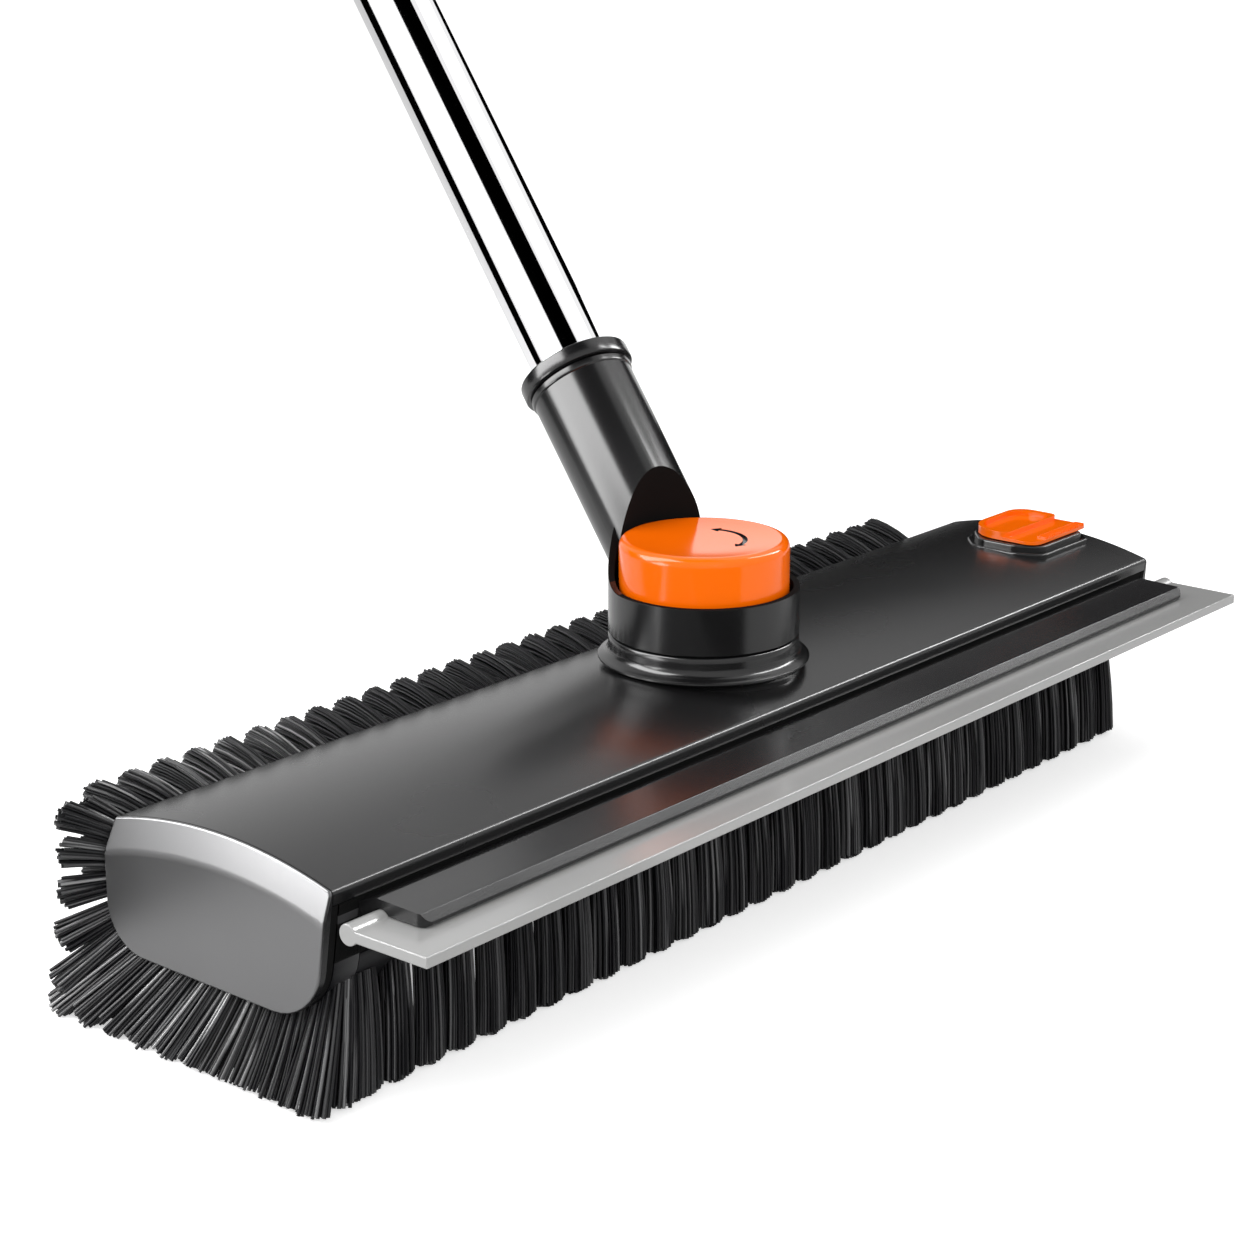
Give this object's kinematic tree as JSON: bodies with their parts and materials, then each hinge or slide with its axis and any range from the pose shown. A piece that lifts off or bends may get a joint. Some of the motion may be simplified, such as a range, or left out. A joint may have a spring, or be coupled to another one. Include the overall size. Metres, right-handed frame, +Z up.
{
  "type": "snow brush",
  "caption": "Wide snow brush head with bristle tufts, a slide-out squeegee blade, a push-button swivel neck and a telescopic pole.",
  "frame": {"origin": "on the swivel axis of the neck, at the floor under the bristle tips", "axes": "+X along the head towards its latch end, -Y is the blade side, +Z up along the swivel axis"},
  "size_m": [0.4269, 0.5119, 0.5543],
  "materials": {
    "charcoal_shell": "satin moulded plastic",
    "black_plastic": "fine matt moulded plastic",
    "grey_plate": "satin metallic grey",
    "screw_steel": "zinc plated",
    "brake_rubber": "matt",
    "bristle": "stiff crimped filament",
    "blade_rubber": "smooth light grey",
    "orange_plastic": "glossy",
    "chromed_tube": "polished",
    "aluminium_tube": "drawn, anodised",
    "grip_foam": "matt closed foam"
  },
  "bodies": {
    "head": {"top_cover": "charcoal_shell", "head_base": "black_plastic", "end_cap_left": "black_plastic", "end_cap_right": "black_plastic", "end_plate_left": "grey_plate", "end_plate_right": "grey_plate", "cover_screw_1": "screw_steel", "cover_screw_2": "screw_steel", "cover_screw_3": "screw_steel", "cover_screw_4": "screw_steel", "blade_rail": "black_plastic", "latch_bezel": "black_plastic", "clutch_ring": "brake_rubber", "bristles_front": "bristle", "bristles_bottom": "bristle", "bristles_back": "bristle", "bristles_left_end": "bristle", "latch_spring": "screw_steel"},
    "blade": {"squeegee_blade": "blade_rubber"},
    "latch": {"latch_slider": "orange_plastic", "latch_bolt": "black_plastic"},
    "neck": {"neck_socket": "charcoal_shell", "retaining_clip": "screw_steel", "button_spring": "screw_steel", "pole_ferrule": "charcoal_shell", "lower_pole": "chromed_tube", "pole_plug": "black_plastic", "lock_sleeve": "black_plastic"},
    "button": {"release_button": "orange_plastic", "lock_stem": "black_plastic", "brake_cone": "black_plastic", "cone_screw": "screw_steel"},
    "lock_collar": {"lock_nut": "black_plastic"},
    "grip_pole": {"upper_pole": "aluminium_tube", "pole_bush": "black_plastic", "grip_sleeve": "grip_foam", "grip_cap": "black_plastic"}
  },
  "joints": [
    {"name": "neck_swivel", "type": "hinge", "parent": "head", "child": "neck", "pos_m": [0, 0, 0.074], "axis": [0, 0, 1], "range_deg": [-76.8, 103.2]},
    {"name": "button_press", "type": "slide", "parent": "neck", "child": "button", "axis": [0, 0, -1], "range_m": [0, 0.004], "stiffness_N_per_m": 1500, "springref_m": -0.004, "deforming": ["button_spring"]},
    {"name": "latch_slide", "type": "slide", "parent": "head", "child": "latch", "axis": [0, 1, 0], "range_m": [0, 0.005], "stiffness_N_per_m": 800, "springref_m": -0.003, "deforming": ["latch_spring"]},
    {"name": "blade_slide", "type": "slide", "parent": "head", "child": "blade", "axis": [1, 0, 0], "range_m": [0, 0.42]},
    {"name": "pole_extend", "type": "slide", "parent": "neck", "child": "grip_pole", "axis": [0.1552, 0.6615, 0.7337], "range_m": [0, 0.26]},
    {"name": "lock_twist", "type": "hinge", "parent": "neck", "child": "lock_collar", "pos_m": [0, 0, 0.07185], "axis": [0.1552, 0.6615, 0.7337], "range_deg": [0, 120]}
  ]
}
